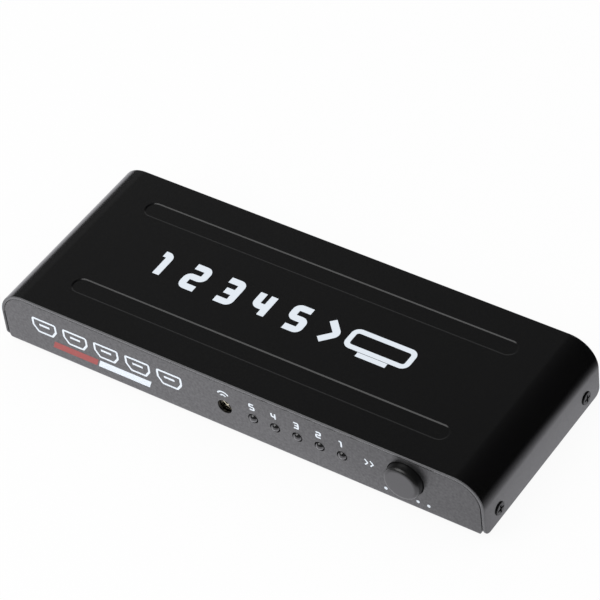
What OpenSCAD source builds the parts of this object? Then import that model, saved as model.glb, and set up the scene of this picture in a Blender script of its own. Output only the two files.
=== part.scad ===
// Video selector box: a bent cover on a folded chassis, with a board that carries the sockets,
// the power jack, the indicator lights, the infrared receiver and the push switch.
// Millimetres. X runs along the front from left to right, Y from the front to the rear, Z up.
// The origin lies under the middle of the whole box, on the surface that the feet stand on.

/* [Case] */
// Length over the end walls of the cover
case_l = 166; // [160:1:200]
// Depth from the front face to the rear face
case_w = 62.6; // [60:0.2:80]
// Height of the case without its feet
case_h = 19.6; // [19.3:0.1:26]
// Thickness of the sheet metal
sheet_t = 1; // [0.8:0.1:1.2]
// Outer radius of the two long bends of the cover
bend_r = 9.2; // [6:0.1:10.5]
// Outer radius of the chassis folds
fold_r = 1.2; // [1.1:0.1:2]
// Radius on the lower corners of the end walls and panels
corner_r = 2.5; // [2:0.1:3]
// Height of the cover's lower edges above the underside of the case
skirt_lift = 0.3; // [0.2:0.05:0.6]
// Gap between the panels and the end walls of the cover
end_gap = 0.3; // [0.2:0.05:0.6]
// Gap between the top of the panels and the cover
top_gap = 0.1; // [0.05:0.05:0.3]
// Gap between the ears of the chassis and the end walls of the cover
ear_gap = 0.1; // [0.05:0.05:0.3]
// Height of the ears
ear_h = 9; // [8:0.5:10]
// Distance from each panel's face to the nearer end of an ear
ear_inset = 4.5; // [4:0.5:4.5]

/* [Pressed grooves] */
// Distance from the end of the case to the end of a groove
groove_end = 18.5; // [15:0.5:30]
// Width of a groove at the surface
groove_w = 6; // [4:0.5:8]
// Depth of a groove
groove_d = 0.3; // [0.2:0.05:0.6]
// Run of the sloping side of a groove
groove_side = 0.35; // [0.3:0.05:1]
// Distance from the front or rear face to the middle of a groove
groove_edge = 12.9; // [9:0.1:16]

/* [Feet] */
// Diameter of a foot where it meets the chassis
foot_d = 9; // [6:0.5:12]
// Height of a foot
foot_h = 1.6; // [1:0.1:3]
// Run of the sloping side of a foot
foot_side = 0.6; // [0.3:0.1:1]
// Distance from the end of the case to the middle of a foot
foot_end = 15; // [12:0.5:20]
// Distance from the front or rear face to the middle of a foot
foot_edge = 10; // [8:0.5:14]

/* [Cover screws] */
// Thread diameter of the cover screws
cover_screw_d = 2.5; // [2:0.5:3]
// Head diameter of the cover screws
cover_head_d = 4.2; // [4:0.1:5]
// How far the rim of a cover screw's head stands out of the cover
cover_head_rim = 0.4; // [0.2:0.05:0.6]
// Length of the cover screws from the face of the cover to their tip
cover_screw_l = 5; // [4:0.5:5.5]
// Distance from the front or rear face to a cover screw
cover_screw_edge = 7.6; // [7.3:0.1:12]
// Height of a cover screw above the underside of the case
cover_screw_z = 4.8; // [4:0.1:5.5]
// Span of the cross recess in the screw heads
recess_span = 2.8; // [2.4:0.1:3]
// Width of the arms of the cross recess
recess_arm = 0.7; // [0.5:0.05:0.9]
// Depth of the cross recess
recess_d = 0.8; // [0.5:0.1:1]

/* [Board] */
// Thickness of the circuit board
board_t = 1.6; // [1.2:0.2:1.6]
// Height of the standoffs
standoff_h = 4.8; // [4:0.1:5.5]
// Diameter of the standoffs
standoff_d = 5; // [4.5:0.1:5.5]
// Depth of metal left under the thread of a standoff
standoff_floor = 0.6; // [0.4:0.1:1]
// Gap between the board and the ears
board_end_gap = 4.5; // [4:0.1:6]
// Gap between the board and the rear panel
board_rear_gap = 1; // [0.5:0.1:2]
// Distance from the end of the board to a board screw
board_hole_end = 4; // [3.5:0.1:5]
// Distance from the front edge of the board to a board screw
board_hole_front = 5; // [4:0.5:7]
// Distance from the rear edge of the board to a board screw
board_hole_rear = 18; // [17.5:0.5:20]
// Thread diameter of the board screws
board_screw_d = 3; // [2.5:0.1:3]
// Head diameter of the board screws
board_head_d = 5.4; // [5:0.1:6]
// Head height of the board screws
board_head_h = 1.8; // [1.5:0.1:2.4]

/* [Push button] */
// Distance from the right end of the case to the middle of the button
button_end = 25.2; // [23:0.2:28]
// Diameter of the button
button_d = 11.5; // [10:0.1:12]
// How far the button stands out of the front panel
button_proud = 2.9; // [2:0.1:4]
// Radius on the rim of the button
button_rim_r = 1.2; // [0.5:0.1:1.5]
// Travel of the button
button_travel = 1; // [0.5:0.1:1.2]
// Gap round the button, and between its collar and the panel
button_gap = 0.3; // [0.2:0.05:0.5]
// Wall of the button and of its hub
button_wall = 1.2; // [0.8:0.1:1.5]
// Thickness of the button's face
button_face_t = 1.8; // [1.5:0.1:2.2]
// Width of the collar that keeps the button behind the panel
collar_w = 1; // [0.8:0.1:1.4]
// Thickness of the collar
collar_t = 1; // [0.8:0.1:1.2]

/* [Push switch] */
// Width of the switch housing
switch_w = 7; // [6:0.1:8]
// Height of the switch housing
switch_h = 7.2; // [7:0.1:7.6]
// Height of the plunger's axis above the board
switch_axis_h = 3.6; // [3.5:0.1:3.8]
// Diameter of the plunger
plunger_d = 3.4; // [3:0.1:3.5]
// Diameter of the plunger's foot
plunger_foot_d = 4.6; // [4.4:0.1:4.8]
// Thickness of the plunger's foot
plunger_foot_t = 0.7; // [0.5:0.1:0.8]
// How far the plunger reaches into the button's hub
plunger_grip = 2; // [1.5:0.1:2.2]
// Thickness of the snap dome
dome_t = 0.12; // [0.1:0.01:0.2]
// Diameter of the flat crown of the snap dome
dome_crown_d = 1.7; // [1.2:0.1:2.4]
// Wall of the switch housing in front of the plunger's foot, and behind the dome
switch_wall = 0.8; // [0.6:0.1:1]
// Thickness of the switch bracket
bracket_t = 0.3; // [0.2:0.05:0.4]
// Running gap of the plunger and of the parts that pass it
run_gap = 0.15; // [0.1:0.01:0.2]
// Room kept behind the moving parts at the end of their travel
end_room = 0.5; // [0.4:0.1:0.8]

/* [Indicator lights] */
// Number of lights
light_n = 5; // [1:1:5]
// Distance from the button to the nearest light, which is the first
light_step = 20.9; // [18:0.1:23]
// Spacing of the lights
light_pitch = 7.5; // [6:0.1:8]
// Diameter of a light
light_d = 3; // [2.6:0.1:3]
// Diameter of the flange of a light
light_flange_d = 3.8; // [3.4:0.1:4]
// Thickness of the flange of a light
light_flange_t = 1; // [0.8:0.1:1.2]
// Length of a light
light_l = 5.3; // [5:0.1:6]
// How far the tip of a light stands out of the front face
light_proud = 0.8; // [0.4:0.1:1.2]
// Gap round a light in the panel
light_gap = 0.2; // [0.1:0.05:0.3]
// Spacing of the two leads of a light
light_lead_pitch = 2.54; // [2:0.01:2.54]
// Side of the square leads of the lights, the receiver and the switch
lead_t = 0.5; // [0.4:0.05:0.6]
// Length of the leads below the board
lead_below = 1; // [0.6:0.1:1.5]
// Gap round a lead or a leg in the board
lead_gap = 0.2; // [0.15:0.05:0.3]
// Gap under a part that lies on the board
seat_gap = 0.05; // [0.02:0.01:0.1]

/* [Infrared receiver] */
// Distance from the last light to the receiver
ir_step = 9.8; // [9:0.1:15]
// Diameter of the receiver's hole in the panel
ir_hole_d = 4.9; // [4:0.1:6]
// Diameter of the window of the shield
ir_window_d = 2.8; // [2.4:0.1:3]
// Width of the crossed bars of the window
ir_bar_w = 0.35; // [0.25:0.05:0.5]
// Width of the shield
ir_shield_w = 7; // [6.5:0.1:7.4]
// Depth of the shield
ir_shield_l = 5.6; // [5.4:0.1:6]
// Height of the shield
ir_shield_h = 5; // [4.9:0.1:5.5]
// Thickness of the shield
ir_shield_t = 0.3; // [0.2:0.05:0.4]
// Gap between the shield and the panel, and round the receiver in its shield
ir_gap = 0.2; // [0.1:0.05:0.3]
// How far the middle of the receiver lies below that of its hole
ir_drop = 0.3; // [0.1:0.05:0.3]
// Radius of the receiver's lens
ir_lens_r = 1.5; // [1.2:0.1:1.6]

/* [Video sockets] */
// Number of inputs
input_n = 5; // [1:1:5]
// Distance from the left end of the case to the middle of the last input
input_end = 23; // [22:0.5:26]
// Distance from the output to the nearest input, which is the first
input_step = 22; // [20:0.5:22]
// Width of a socket shell
shell_w = 14.9; // [14.5:0.1:15.2]
// Height of a socket shell
shell_h = 5.5; // [5.3:0.1:5.8]
// Height of the upright part of the shell's sides
shell_side_h = 3; // [2.6:0.1:3.2]
// Width of the underside of a socket shell
shell_base_w = 10.6; // [10:0.1:11.5]
// Depth of a socket shell
shell_l = 11.2; // [10.5:0.1:12]
// Thickness of a socket shell
shell_t = 0.35; // [0.25:0.05:0.4]
// How far the sockets and the jack stand out of the rear panel
socket_proud = 0.8; // [0.4:0.1:1.2]
// Gap round a socket or the jack in the rear panel
socket_gap = 0.25; // [0.15:0.05:0.4]
// Width of a shell's leg
leg_w = 1.2; // [1:0.1:1.5]
// Distance from the mouth of a shell to its first pair of legs
leg_first = 4.4; // [4:0.1:5]
// Distance between the two pairs of legs
leg_step = 4.8; // [4:0.1:5.2]
// Width of a spring finger in the shell's roof
finger_w = 2.2; // [1.8:0.1:2.6]
// Length of a spring finger
finger_l = 5; // [4:0.1:5.5]
// Width of the slit round a spring finger
finger_slit = 0.4; // [0.3:0.05:0.5]
// Distance from the mouth of a shell to its spring fingers
finger_start = 2; // [1.5:0.1:2.5]
// Distance between the middles of the two spring fingers
finger_pitch = 6; // [5:0.1:7]
// Width of the tongue
tongue_w = 11.2; // [10.6:0.1:11.6]
// Thickness of the tongue
tongue_t = 1.6; // [1.4:0.1:1.8]
// Depth of the tongue's tip inside the mouth
tongue_sink = 1.2; // [0.8:0.1:2]
// Depth of the block that carries the tongue
block_l = 3; // [2.5:0.1:3.5]
// Gap between the block and its shell
block_gap = 0.05; // [0.02:0.01:0.1]
// Spacing of the contacts in a row
contact_pitch = 1; // [0.9:0.05:1]
// Number of contacts in the upper row
contact_n = 10; // [8:1:10]
// Width of a contact
contact_w = 0.45; // [0.3:0.05:0.5]
// Thickness of a contact
contact_t = 0.12; // [0.1:0.01:0.2]
// Distance from the tongue's tip to the contacts
contact_sink = 0.5; // [0.3:0.1:0.8]

/* [Power jack] */
// Distance from the right end of the case to the middle of the power jack
jack_end = 17; // [16:0.5:18]
// Distance from the power jack to the output
jack_step = 20; // [18:0.5:20]
// Width of the jack
jack_w = 9; // [8.6:0.1:9.5]
// Height of the jack
jack_h = 9.2; // [9:0.1:9.6]
// Depth of the jack behind its collar
jack_l = 11; // [10:0.1:12]
// Height of the jack's axis above the board
jack_axis_h = 4.7; // [4.6:0.1:4.8]
// Diameter of the jack's round collar
jack_collar_d = 7.8; // [7.6:0.1:8.4]
// Diameter of the jack's bore, for a 5.5 mm plug
jack_bore_d = 6.2; // [6:0.1:6.4]
// Depth of the jack's bore
jack_bore_l = 10; // [9:0.1:10.5]
// Diameter of the centre pin
jack_pin_d = 2; // [1.9:0.1:2.1]
// Depth of the pin's tip inside the mouth
jack_pin_sink = 1; // [0.5:0.1:2]
// Width of the leaf contact
leaf_w = 2.2; // [1.8:0.1:2.6]
// Thickness of the leaf contact
leaf_t = 0.4; // [0.3:0.05:0.5]
// Length of the leaf contact
leaf_l = 7.5; // [5:0.1:8]

/* [Parts on the board] */
// Side of the selector chip
chip_side = 14; // [12:0.5:16]
// Height of the chips
chip_h = 1.5; // [1.2:0.1:1.8]
// Spacing of the selector chip's leads
chip_pitch = 0.8; // [0.65:0.05:0.8]
// Number of leads on each side of the selector chip
chip_n = 16; // [12:1:16]
// Length of the small controller chip
mcu_l = 9.9; // [9.5:0.1:10.5]
// Width of the small controller chip
mcu_w = 3.9; // [3.5:0.1:4.5]
// Spacing of the controller's leads
mcu_pitch = 1.27; // [1:0.01:1.27]
// Number of leads on each side of the controller
mcu_n = 8; // [4:1:8]
// How far the leads of a chip stand out
pin_out = 1; // [0.6:0.1:1.2]
// Thickness of the leads of a chip
pin_t = 0.2; // [0.15:0.05:0.3]
// Width of the leads of a chip
pin_w = 0.36; // [0.3:0.02:0.4]
// Diameter of the can capacitors
can_d = 6.3; // [5:0.1:6.5]
// Height of the can capacitors with their base
can_h = 7.2; // [5:0.1:7.7]
// Height of a can capacitor's base
can_base_h = 1; // [0.8:0.1:1.4]
// Length of the crystal's can
crystal_l = 10.2; // [9:0.1:11]
// Width of the crystal's can
crystal_w = 4; // [3.5:0.1:4.5]
// Height of the crystal's can
crystal_h = 3.4; // [3:0.1:3.6]
// Height of the crystal's foot plate
crystal_foot_h = 0.5; // [0.3:0.1:0.8]
// Side of the inductor
coil_side = 6; // [5:0.1:7]
// Height of the inductor
coil_h = 2.8; // [2:0.1:3.5]
// Cut on the corners of the inductor and of the can capacitors' bases
base_cut = 1.1; // [0.8:0.1:1.4]
// Length of the regulator's body
reg_l = 6.5; // [6:0.1:7]
// Width of the regulator's body
reg_w = 3.5; // [3.3:0.1:4]
// Width of the regulator's tab
reg_tab_w = 3; // [2.5:0.1:3.4]
// Spacing of the regulator's leads
reg_pitch = 2.3; // [2:0.1:2.5]
// Width of the regulator's leads
reg_pin_w = 0.7; // [0.5:0.1:0.9]
// Number of chip resistors in front of a socket
resistor_n = 4; // [2:1:4]
// Length of a chip resistor
resistor_l = 2; // [1.6:0.1:2.4]
// Width of a chip resistor
resistor_w = 1.25; // [0.8:0.05:1.3]
// Height of a chip resistor
resistor_h = 0.6; // [0.4:0.05:0.8]
// Spacing of the chip resistors in front of a socket
resistor_pitch = 2.6; // [2.2:0.1:3]
// Distance from a socket shell to its chip resistors
resistor_gap = 2; // [1.5:0.1:3]

/* [Hidden] */
$fn = 64;
// Overlap that lets a cut run past a face
over = 1;
// How far below the underside a panel's corner cut starts, so that it crosses the fold at an angle
corner_dip = 0.1;

// Levels
base_z = foot_h;
floor_z = base_z + sheet_t;
board_z = floor_z + standoff_h;
board_top = board_z + board_t;
lead_z = board_z - lead_below;
cover_top = base_z + case_h;
light_z = board_top + light_flange_d / 2 + seat_gap;
button_z = board_top + switch_axis_h;
jack_z = board_top + jack_axis_h;

// Depths: the middle of the case is moved so that the whole box is centred on the origin
case_y = (button_proud - socket_proud) / 2;
front_y = case_y - case_w / 2;
rear_y = case_y + case_w / 2;
mouth_y = rear_y + socket_proud;

// Grooves
groove_l = case_l - 2 * groove_end;
groove_y = case_w / 2 - groove_edge;

// Panels
panel_l = case_l - 2 * (sheet_t + end_gap);
panel_h = case_h - sheet_t - top_gap;
panel_r = bend_r - sheet_t - end_gap;
fold_l = panel_l - 2 * corner_r;
ear_out = case_l / 2 - sheet_t - ear_gap;

// Push button
button_x = case_l / 2 - button_end;
button_hole_d = button_d + 2 * button_gap;
collar_d = button_hole_d + 2 * collar_w;
collar_back = sheet_t + button_gap + collar_t;
button_l = button_proud + collar_back;
switch_front = front_y + collar_back + button_travel + end_room;
dome_h = button_travel + dome_t + seat_gap;
chamber_l = run_gap + plunger_foot_t + seat_gap + dome_h + seat_gap;
switch_l = 2 * switch_wall + chamber_l;
hub_d = plunger_d + 2 * button_wall;

// Board
board_l = 2 * (ear_out - sheet_t - board_end_gap);
board_front = front_y + collar_back + button_travel + end_room;
board_rear = rear_y - sheet_t - board_rear_gap;
board_w = board_rear - board_front;
hole_x = board_l / 2 - board_hole_end;
hole_ys = [board_front + board_hole_front, board_rear - board_hole_rear];

// Rear row
jack_x = case_l / 2 - jack_end;
output_x = jack_x - jack_step;
first_x = output_x - input_step;
socket_pitch = (first_x + case_l / 2 - input_end) / max(1, input_n - 1);
input_xs = [for (i = [0:input_n - 1]) first_x - i * socket_pitch];
socket_xs = concat(input_xs, [output_x]);
jack_front = rear_y - sheet_t - socket_gap - jack_l;
tongue_z = board_top + shell_h - shell_side_h;
block_y = mouth_y - shell_l;
leg_ys = [mouth_y - leg_first - leg_w / 2, mouth_y - leg_first - leg_step - leg_w / 2];

// Front row
light_xs = [for (i = [0:light_n - 1]) button_x - light_step - i * light_pitch];
light_tip = front_y - light_proud;
light_back = light_tip + light_l;
lead_y = light_back + 2 * lead_t;
ir_x = light_xs[light_n - 1] - ir_step;
ir_z = light_z - ir_drop;
ir_front = front_y + sheet_t + ir_gap;
ir_lead_y = ir_front + ir_shield_l + lead_t;
ir_body_w = ir_shield_w - 2 * (ir_shield_t + ir_gap);
ir_body_z = board_top + seat_gap;
ir_body_top = board_top + ir_shield_h - ir_shield_t - ir_gap;
ir_body_front = ir_front + ir_shield_t + ir_gap + ir_lens_r;
ir_body_l = ir_front + ir_shield_l - ir_body_front;
ir_lead_xs = [for (s = [-1:1]) ir_x + s * light_lead_pitch];
switch_pin_xs = [for (s = [-1, 1]) button_x + s * light_lead_pitch];
switch_pin_y = switch_front + switch_l / 2;
bracket_x = switch_w / 2 + seat_gap;
bracket_xs = [for (s = [-1, 1]) button_x + s * (bracket_x + bracket_t / 2)];
bracket_leg_y = switch_front + switch_l - leg_w;

// Places of the parts on the board, from the middle of the case, the jack and the output
chip_at = [8, case_y - 4];
mcu_at = [-32, case_y - 6];
crystal_at = [-32, case_y + 4];
reg_at = [jack_x - 6, case_y + 4];
coil_at = [jack_x, case_y - 7];
can_ats = [for (y = [case_y - 8, case_y + 1]) [output_x - 1, y]];
resistor_y = block_y - resistor_gap;

light_names = [for (i = [1:light_n]) str("status_light_", i)];
input_names = [for (i = [1:input_n]) str("input_", i)];
socket_names = concat(input_names, ["output"]);

// Extrudes a front view, drawn in X and Z, from y0 over a depth towards the rear
module along_y(y0, depth) {
    translate([0, y0 + depth, 0]) rotate([90, 0, 0]) linear_extrude(depth) children();
}

// Extrudes an end view, drawn in Y and Z, over a length centred on x = 0
module along_x(length) {
    translate([-length / 2, 0, 0]) rotate([90, 0, 90]) linear_extrude(length) children();
}

// Extrudes a plan view so that it cuts right through a sheet of thickness t that starts at z = 0
module along_z(t) {
    translate([0, 0, -over]) linear_extrude(t + 2 * over) children();
}

// A cylinder along +Y from the point p
module rod_y(p, d, length) {
    translate(p) rotate([-90, 0, 0]) cylinder(d = d, h = length);
}

// A block centred in X, from y and z upwards
module block(x, y, z, w, l, h) {
    translate([x - w / 2, y, z]) cube([w, l, h]);
}

// Flat-bottomed outline with two round upper corners
module arch(l, h, r) {
    translate([-l / 2, 0]) square([l, h - r]);
    translate([r - l / 2, 0]) square([l - 2 * r, h]);
    for (s = [-1, 1]) translate([s * (l / 2 - r), h - r]) intersection() {
        circle(r);
        translate([-r, 0]) square([2 * r, r]);
    }
}

// Channel section with two round lower corners
module channel(l, h, t, r) {
    difference() {
        union() {
            translate([-l / 2, r]) square([l, h - r]);
            translate([r - l / 2, 0]) square([l - 2 * r, h]);
            for (s = [-1, 1]) translate([s * (l / 2 - r), r]) circle(r);
        }
        translate([t - l / 2, r]) square([l - 2 * t, h]);
        translate([r - l / 2, t]) square([l - 2 * r, h]);
        for (s = [-1, 1]) translate([s * (l / 2 - r), r]) circle(r - t);
    }
}

// What is cut off a square corner at the origin to leave it round
module corner_waste(r) {
    difference() {
        translate([-over, -over]) square(r + over);
        translate([r, r]) circle(r);
    }
}

// Long round-ended press form: its sides slope, w wide at z = 0, from z = -d up to z = +d
module press_form(l, w, d, side) {
    run = l - w;
    translate([-run / 2, 0, 0]) rotate([90, 0, 90]) linear_extrude(run)
        polygon([[side - w / 2, -d], [w / 2 - side, -d], [w / 2 + side, d], [-w / 2 - side, d]]);
    for (s = [-1, 1]) translate([s * run / 2, 0, -d])
        cylinder(d1 = w - 2 * side, d2 = w + 2 * side, h = 2 * d);
}

// Sunk part of a cover screw, pointing in -X from the face of the cover at the origin, grown by a gap
module cover_screw_form(gap, head_over) {
    cone_l = (cover_head_d - cover_screw_d) / 2;
    rotate([0, -90, 0]) {
        translate([0, 0, -head_over])
            cylinder(d1 = cover_head_d + 2 * (gap + head_over), d2 = cover_screw_d + 2 * gap,
                h = cone_l + head_over);
        cylinder(d = cover_screw_d + 2 * gap, h = cover_screw_l + head_over);
    }
}

// Puts a cover screw form at its four places
module at_cover_screws() {
    for (s = [-1, 1], y = [front_y + cover_screw_edge, rear_y - cover_screw_edge])
        translate([s * case_l / 2, y, base_z + cover_screw_z]) rotate([0, 0, 90 - 90 * s]) children();
}

module top_cover() {
    inner_l = case_l - 2 * sheet_t;
    skirt_z = base_z + skirt_lift;
    cover_h = case_h - skirt_lift;
    color("#1a1a1c") difference() {
        union() {
            translate([0, 0, skirt_z]) along_y(front_y, case_w) difference() {
                arch(case_l, cover_h, bend_r);
                translate([0, -over]) arch(inner_l, cover_h - sheet_t + over, bend_r - sheet_t);
            }
            for (s = [-1, 1]) translate([0, case_y + s * groove_y, cover_top - sheet_t])
                press_form(groove_l + 2 * groove_d, groove_w + 2 * groove_d, groove_d, groove_side);
        }
        for (s = [-1, 1]) translate([0, case_y + s * groove_y, cover_top])
            press_form(groove_l, groove_w, groove_d, groove_side);
        for (m = [0, 1]) translate([0, case_y, skirt_z]) mirror([0, m, 0]) translate([0, -case_w / 2, 0])
            along_x(case_l + 2 * over) corner_waste(corner_r);
        at_cover_screws() cover_screw_form(seat_gap, over);
    }
}

// End view of the two folds that carry the panels
module fold_section() {
    intersection() {
        channel(case_w, 2 * fold_r, sheet_t, fold_r);
        for (s = [-1, 1]) translate([s * (case_w - fold_r) / 2, fold_r])
            square([fold_r, 2 * fold_r], center = true);
    }
}

// Front and rear panel with their folds, which run round the lower corners
module panels() {
    difference() {
        union() {
            translate([0, case_y, 0]) along_x(panel_l) fold_section();
            for (y = [front_y, rear_y - sheet_t])
                along_y(y, sheet_t) translate([0, fold_r]) arch(panel_l, panel_h - fold_r, panel_r);
        }
        for (y = [front_y - over, rear_y - fold_r - over], m = [0, 1]) mirror([m, 0, 0])
            along_y(y, fold_r + 2 * over) translate([-panel_l / 2, -corner_dip]) corner_waste(corner_r);
    }
}

module shell_outline(grow) {
    w = shell_w / 2 + grow;
    b = shell_base_w / 2 + grow;
    low = shell_h - shell_side_h;
    polygon([[-b, -grow], [b, -grow], [w, low - grow / 2], [w, shell_h + grow],
             [-w, shell_h + grow], [-w, low - grow / 2]]);
}

module chassis() {
    color("#47474a") difference() {
        translate([0, 0, base_z]) {
            translate([0, case_y, 0]) along_x(fold_l) channel(case_w, 2 * fold_r, sheet_t, fold_r);
            along_y(front_y + ear_inset, case_w - 2 * ear_inset) channel(2 * ear_out, ear_h, sheet_t, fold_r);
            panels();
        }
        at_cover_screws() cover_screw_form(run_gap, 0);
        rod_y([ir_x, front_y - over, light_z], ir_hole_d, sheet_t + 2 * over);
        for (x = light_xs) rod_y([x, front_y - over, light_z], light_d + 2 * light_gap, sheet_t + 2 * over);
        rod_y([button_x, front_y - over, button_z], button_hole_d, sheet_t + 2 * over);
        for (x = socket_xs) translate([x, 0, board_top])
            along_y(rear_y - sheet_t - over, sheet_t + 2 * over) shell_outline(socket_gap);
        rod_y([jack_x, rear_y - sheet_t - over, jack_z], jack_collar_d + 2 * socket_gap, sheet_t + 2 * over);
    }
}

// A rubber foot on one side of the middle in X and in Y
module foot(side_x, side_y) {
    color("#161616")
        translate([side_x * (case_l / 2 - foot_end), case_y + side_y * (case_w / 2 - foot_edge), 0])
        cylinder(d1 = foot_d - 2 * foot_side, d2 = foot_d, h = foot_h);
}

// Low rim of a cover screw's head above z = 0, rounded at its outer edge
module head_rim() {
    r = cover_head_rim / 2;
    rotate_extrude() {
        square([cover_head_d / 2, cover_head_rim - r]);
        square([cover_head_d / 2 - r, cover_head_rim]);
        translate([cover_head_d / 2 - r, cover_head_rim - r]) circle(r);
    }
}

// Cross recess cut down from z = 0
module cross_recess() {
    for (a = [0, 90]) rotate([0, 0, a]) translate([-recess_span / 2, -recess_arm / 2, -recess_d])
        cube([recess_span, recess_arm, recess_d + over]);
}

module cover_screws() {
    color("#202022") at_cover_screws() difference() {
        union() {
            cover_screw_form(0, 0);
            rotate([0, 90, 0]) head_rim();
        }
        translate([cover_head_rim, 0, 0]) rotate([0, 90, 0]) cross_recess();
    }
}

// Puts its children at the four screws of the board
module at_board_holes() {
    for (s = [-1, 1], y = hole_ys) translate([s * hole_x, y, 0]) children();
}

module board_standoffs() {
    color("#b9babd") at_board_holes() difference() {
        translate([0, 0, floor_z]) cylinder(d = standoff_d, h = standoff_h);
        translate([0, 0, floor_z + standoff_floor]) cylinder(d = board_screw_d, h = standoff_h);
    }
}

module board_screws() {
    shank_l = board_t + standoff_h - standoff_floor - seat_gap;
    color("#c9c9cc") at_board_holes() translate([0, 0, board_top]) difference() {
        union() {
            translate([0, 0, -shank_l]) cylinder(d = board_screw_d - 2 * seat_gap, h = shank_l);
            cylinder(d = board_head_d, h = board_head_h);
        }
        translate([0, 0, board_head_h]) cross_recess();
    }
}

// Slot in the board for a flat leg
module leg_slot(x, y, w, l) {
    block(x, y - lead_gap, board_z - over, w + 2 * lead_gap, l + 2 * lead_gap, board_t + 2 * over);
}

// Round hole in the board for a lead
module lead_hole(x, y) {
    translate([x, y, board_z - over]) cylinder(d = lead_t * sqrt(2) + lead_gap, h = board_t + 2 * over);
}

module circuit_board() {
    color("#1d5a34") difference() {
        block(0, board_front, board_z, board_l, board_w, board_t);
        at_board_holes() translate([0, 0, board_z - over])
            cylinder(d = board_screw_d + lead_gap, h = board_t + 2 * over);
        for (x = socket_xs, s = [-1, 1], y = leg_ys)
            leg_slot(x + s * (shell_w - shell_t) / 2, y, shell_t, leg_w);
        for (x = light_xs, s = [-1, 1]) lead_hole(x + s * light_lead_pitch / 2, lead_y - lead_t / 2);
        for (x = ir_lead_xs) lead_hole(x, ir_lead_y);
        for (x = switch_pin_xs) lead_hole(x, switch_pin_y);
        for (x = bracket_xs) leg_slot(x, bracket_leg_y, bracket_t, leg_w);
    }
}

// Section of the button, with its face at y = 0 and its open back at y = button_l
module button_section() {
    difference() {
        union() {
            translate([0, button_rim_r]) square([button_d / 2, button_l - button_rim_r]);
            square([button_d / 2 - button_rim_r, button_l]);
            translate([button_d / 2 - button_rim_r, button_rim_r]) circle(button_rim_r);
            translate([0, button_l - collar_t]) square([collar_d / 2, collar_t]);
        }
        translate([hub_d / 2, button_face_t])
            square([(button_d - hub_d) / 2 - button_wall, button_l]);
        translate([0, button_l - plunger_grip]) square([plunger_d / 2 + seat_gap, button_l]);
    }
}

module button_cap() {
    color("#3e3e41") translate([button_x, front_y - button_proud, button_z])
        rotate([-90, 0, 0]) rotate_extrude() button_section();
}

module switch_housing() {
    color("#2a2a2c") difference() {
        block(button_x, switch_front, board_top, switch_w, switch_l, switch_h);
        rod_y([button_x, switch_front - over, button_z], plunger_d + 2 * run_gap, switch_wall + 2 * over);
        rod_y([button_x, switch_front + switch_wall, button_z], plunger_foot_d + 2 * run_gap, chamber_l);
        for (x = switch_pin_xs) block(x, switch_pin_y - lead_t / 2 - seat_gap, board_top - over,
            lead_t + 2 * seat_gap, lead_t + 2 * seat_gap, over + lead_t + seat_gap);
    }
}

module switch_plunger() {
    grip_y = front_y + collar_back - plunger_grip + seat_gap;
    foot_y = switch_front + switch_wall + run_gap;
    color("#6a6a6c") {
        rod_y([button_x, grip_y, button_z], plunger_d, foot_y - grip_y + plunger_foot_t / 2);
        rod_y([button_x, foot_y, button_z], plunger_foot_d, plunger_foot_t);
    }
}

module switch_dome() {
    rim_r = plunger_foot_d / 2;
    crown_r = dome_crown_d / 2;
    dome_y = switch_front + switch_wall + chamber_l - seat_gap;
    color("#b08d4a") translate([button_x, dome_y, button_z]) rotate([90, 0, 0]) rotate_extrude()
        polygon([[rim_r, 0], [rim_r, dome_t], [crown_r, dome_h], [0, dome_h], [0, dome_h - dome_t],
                 [crown_r - dome_t, dome_h - dome_t], [rim_r - 2 * dome_t, 0]]);
}

module switch_bracket() {
    wrap_l = switch_l - switch_wall;
    wrap_y = switch_front + switch_l - wrap_l;
    back_y = switch_front + switch_l + seat_gap;
    color("#c4c4c6") {
        for (x = bracket_xs) {
            block(x, wrap_y, board_top + seat_gap, bracket_t, back_y + bracket_t - wrap_y, switch_h);
            block(x, bracket_leg_y, lead_z, bracket_t, leg_w, button_z - lead_z);
        }
        block(button_x, back_y, board_top + seat_gap, 2 * (bracket_x + bracket_t), bracket_t, switch_h);
    }
}

module switch_pins() {
    color("#c9c9cc") for (x = switch_pin_xs)
        block(x, switch_pin_y - lead_t / 2, lead_z, lead_t, lead_t, board_top + lead_t - lead_z);
}

// Indicator light at x, with its round tip towards the front
module status_light(x) {
    r = light_d / 2;
    color("#d8dde0") translate([x, light_back, light_z]) rotate([90, 0, 0]) {
        cylinder(d = light_flange_d, h = light_flange_t);
        cylinder(d = light_d, h = light_l - r);
        translate([0, 0, light_l - r]) sphere(r);
    }
}

module light_leads() {
    start_y = light_back + seat_gap;
    color("#c9c9cc") for (x = light_xs, s = [-1, 1]) translate([s * light_lead_pitch / 2, 0, 0]) {
        block(x, start_y, light_z - lead_t / 2, lead_t, lead_y - start_y, lead_t);
        block(x, lead_y - lead_t, lead_z, lead_t, lead_t, light_z - lead_z);
    }
}

module ir_receiver() {
    color("#26232a") {
        block(ir_x, ir_body_front, ir_body_z, ir_body_w, ir_body_l, ir_body_top - ir_body_z);
        translate([ir_x, ir_body_front, ir_z]) sphere(ir_lens_r);
    }
}

module ir_shield() {
    wall = ir_shield_t;
    color("#c8b98c") {
        difference() {
            block(ir_x, ir_front, board_top, ir_shield_w, ir_shield_l, ir_shield_h);
            block(ir_x, ir_front + wall, board_top - over, ir_shield_w - 2 * wall, ir_shield_l,
                ir_shield_h - wall + over);
            rod_y([ir_x, ir_front - over, ir_z], ir_window_d, wall + 2 * over);
        }
        for (a = [-45, 45]) translate([ir_x, ir_front + wall / 2, ir_z]) rotate([0, a, 0])
            cube([ir_window_d + wall / 2, wall, ir_bar_w], center = true);
    }
}

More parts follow.
